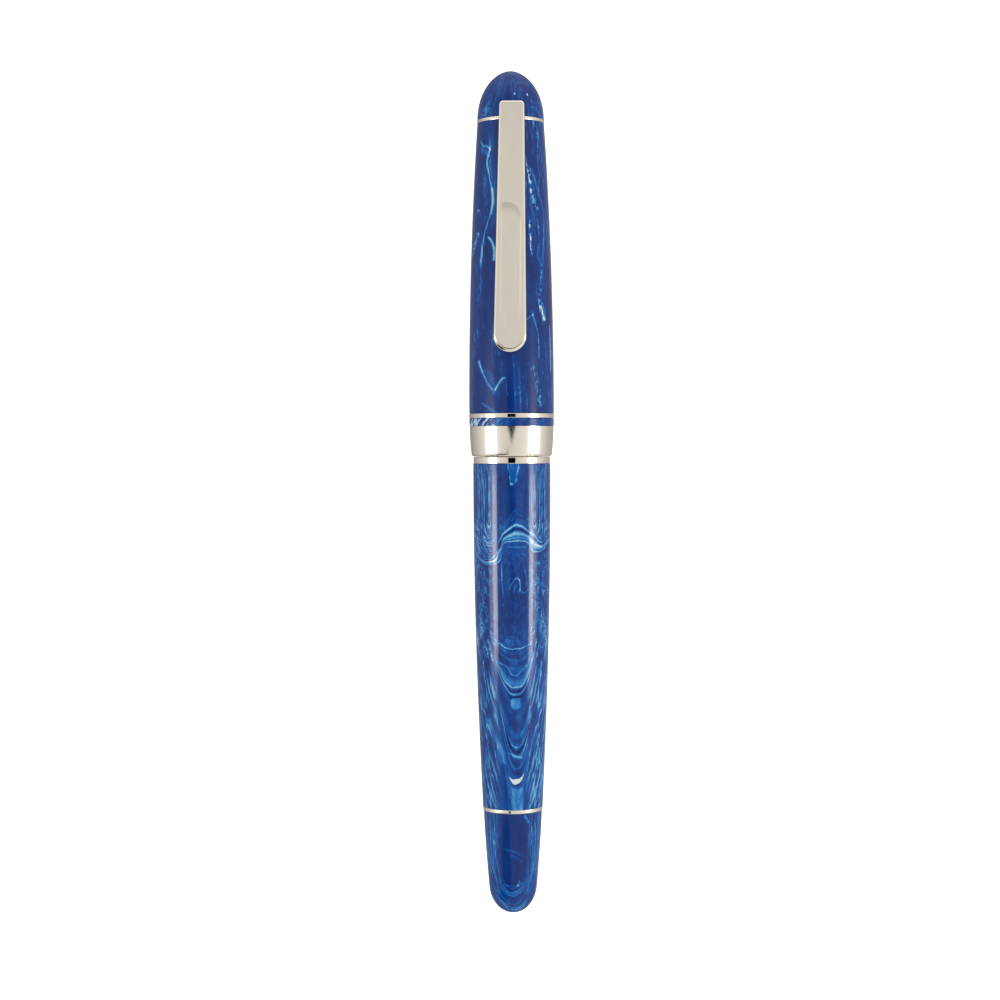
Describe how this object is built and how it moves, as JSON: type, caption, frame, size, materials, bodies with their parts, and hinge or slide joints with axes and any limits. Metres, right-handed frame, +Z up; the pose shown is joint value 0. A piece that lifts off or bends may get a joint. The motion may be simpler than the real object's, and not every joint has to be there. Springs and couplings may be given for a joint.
{
  "type": "fountain pen",
  "caption": "Capped fountain pen of marbled blue resin with a straight metal clip, metal bands, a screw-on cap and barrel, a nib with its feed, and a piston ink converter inside.",
  "frame": {"origin": "on the surface that the pen lies on, under the middle of its length and of its width", "axes": "+Y along the pen from its tail to the dome of its cap, +Z up out of the clip's face, +X across the pen"},
  "size_m": [0.014, 0.1396, 0.016],
  "materials": {
    "resin": "polished marbled acrylic resin, deep royal blue with pale cyan swirls",
    "trim": "mirror-polished warm silver plating",
    "nib_steel": "polished steel",
    "nib_tip_alloy": "ground and polished hard alloy",
    "black_resin": "polished black resin",
    "black_plastic": "moulded black plastic, satin",
    "clear_plastic": "clear moulded plastic",
    "brass": "turned brass",
    "rubber": "moulded synthetic rubber"
  },
  "bodies": {
    "section": {"section_grip": "black_resin", "section_ring": "trim", "nib_housing": "black_plastic", "feed": "black_plastic", "nib": "nib_steel", "nib_tipping": "nib_tip_alloy"},
    "cap_liner": {"inner_cap": "black_plastic"},
    "cap": {"cap_body": "resin", "cap_finial": "resin", "finial_stud": "brass", "clip_ring": "trim", "cap_trim_ring": "trim", "cap_spacer_ring": "resin", "cap_band": "trim"},
    "clip": {"clip": "trim"},
    "barrel_bush": {"barrel_ring": "trim"},
    "barrel": {"barrel": "resin", "end_ring": "trim", "end_cap": "resin", "end_screw": "brass"},
    "converter": {"converter_tube": "clear_plastic", "converter_sleeve": "trim"},
    "converter_drive": {"converter_knob": "black_plastic", "drive_nut": "brass"},
    "piston": {"piston_rod": "black_plastic", "piston_seal": "rubber"}
  },
  "joints": [
    {"name": "cap_pull", "type": "slide", "parent": "section", "child": "cap_liner", "axis": [0, 1, 0], "range_m": [0, 0.06]},
    {"name": "cap_turn", "type": "hinge", "parent": "cap_liner", "child": "cap", "pos_m": [0, 0.03, 0.00703], "axis": [0, 1, 0], "range_deg": [0, 450]},
    {"name": "clip_flex", "type": "hinge", "parent": "cap", "child": "clip", "pos_m": [0, 0.06097, 0.01333], "axis": [-1, 0, 0], "range_deg": [0, 4], "stiffness_Nm_per_rad": 0.3},
    {"name": "barrel_pull", "type": "slide", "parent": "section", "child": "barrel_bush", "axis": [0, -1, 0], "range_m": [0, 0.06]},
    {"name": "barrel_turn", "type": "hinge", "parent": "barrel_bush", "child": "barrel", "pos_m": [0, -0.02, 0.00703], "axis": [0, -1, 0], "range_deg": [0, 2340]},
    {"name": "converter_pull", "type": "slide", "parent": "section", "child": "converter", "axis": [0, -1, 0], "range_m": [0, 0.008]},
    {"name": "knob_turn", "type": "hinge", "parent": "converter", "child": "converter_drive", "pos_m": [0, -0.035, 0.00703], "axis": [0, -1, 0], "range_deg": [0, 2088]},
    {"name": "piston_travel", "type": "slide", "parent": "converter", "child": "piston", "axis": [0, -1, 0], "range_m": [0, 0.0145]}
  ],
  "couplings": [
    {"joint": "knob_turn", "follows": "piston_travel", "rad_per_m": 2513.3}
  ]
}
